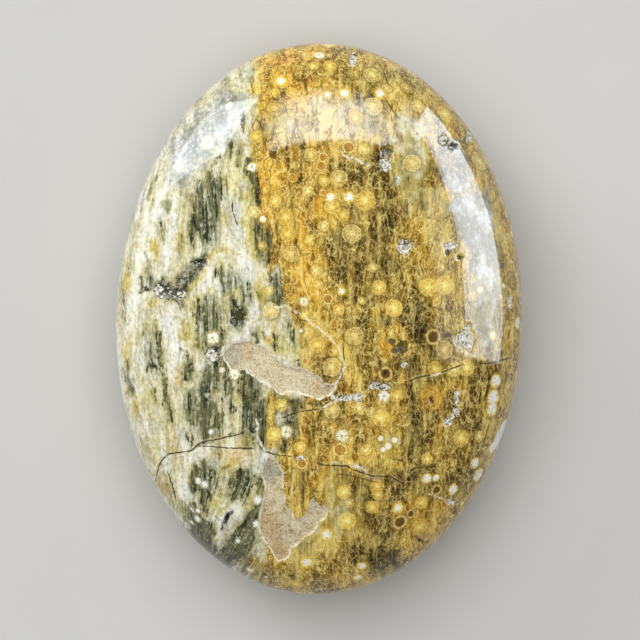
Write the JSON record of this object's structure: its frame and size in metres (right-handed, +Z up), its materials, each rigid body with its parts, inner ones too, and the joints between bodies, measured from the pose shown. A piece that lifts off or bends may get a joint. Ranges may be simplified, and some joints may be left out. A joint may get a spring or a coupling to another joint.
{
  "type": "ocean jasper palm stone",
  "caption": "Polished oval palm stone of orbicular jasper with rough hollows and small vugs in its face, resting on a small flat spot.",
  "frame": {"origin": "middle of the flat spot on the underside that the stone rests on", "axes": "+Z up through the crown of the polished face, +Y along the long axis of the oval, +X across it"},
  "size_m": [0.0516, 0.0699, 0.0248],
  "materials": {
    "jasper": "polished, with rough unpolished hollows"
  },
  "bodies": {
    "root": {"stone": "jasper"}
  },
  "joints": []
}
